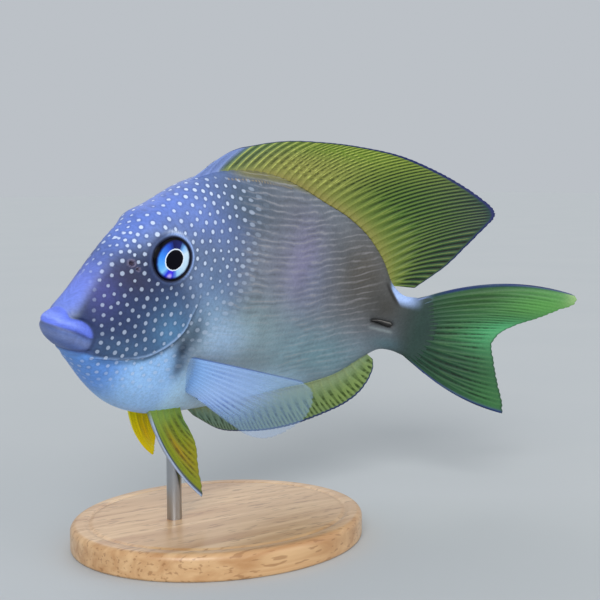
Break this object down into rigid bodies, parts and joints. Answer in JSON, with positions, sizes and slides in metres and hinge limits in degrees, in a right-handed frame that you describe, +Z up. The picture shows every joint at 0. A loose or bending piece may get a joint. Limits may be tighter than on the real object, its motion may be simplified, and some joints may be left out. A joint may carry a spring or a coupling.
{
  "type": "kole tang",
  "caption": "Life-size still model of a deep-bodied reef fish turning as it swims, with spotted head, lined flanks and ribbed fins, held on a rod and an oval plate.",
  "frame": {"origin": "middle of the underside of the stand's plate", "axes": "+Z up; the fish's head points mostly towards -X and a little towards -Y, and its tail swings towards -Y"},
  "size_m": [0.1447, 0.06, 0.0924],
  "materials": {
    "head_skin": "wet skin, violet-grey with pale blue spots",
    "torso_skin": "wet skin, grey-brown with fine pale lines",
    "tail_stem_skin": "wet skin, brown-grey",
    "eye": "clear wet cornea over a blue and white iris",
    "tail_spine": "smooth dark bone",
    "dorsal_fin": "wet fin skin, olive-yellow with dark lines",
    "anal_fin": "wet fin skin, yellow-green with dark streaks",
    "tail_fin": "wet fin skin, green with dark streaks",
    "pectoral_fin": "clear thin fin skin with fine rays",
    "pelvic_fin": "wet fin skin, olive and orange-yellow",
    "stand_beech": "oiled turned beech",
    "stand_steel": "brushed"
  },
  "bodies": {
    "root": {"head": "head_skin", "torso": "torso_skin", "tail_stem": "tail_stem_skin", "eye_left": "eye", "eye_right": "eye", "tail_spine_left": "tail_spine", "tail_spine_right": "tail_spine", "dorsal_fin": "dorsal_fin", "anal_fin": "anal_fin", "tail_fin": "tail_fin", "pectoral_fin_left": "pectoral_fin", "pectoral_fin_right": "pectoral_fin", "pelvic_fin_left": "pelvic_fin", "pelvic_fin_right": "pelvic_fin", "stand_plate": "stand_beech", "stand_rod": "stand_steel"}
  },
  "joints": []
}
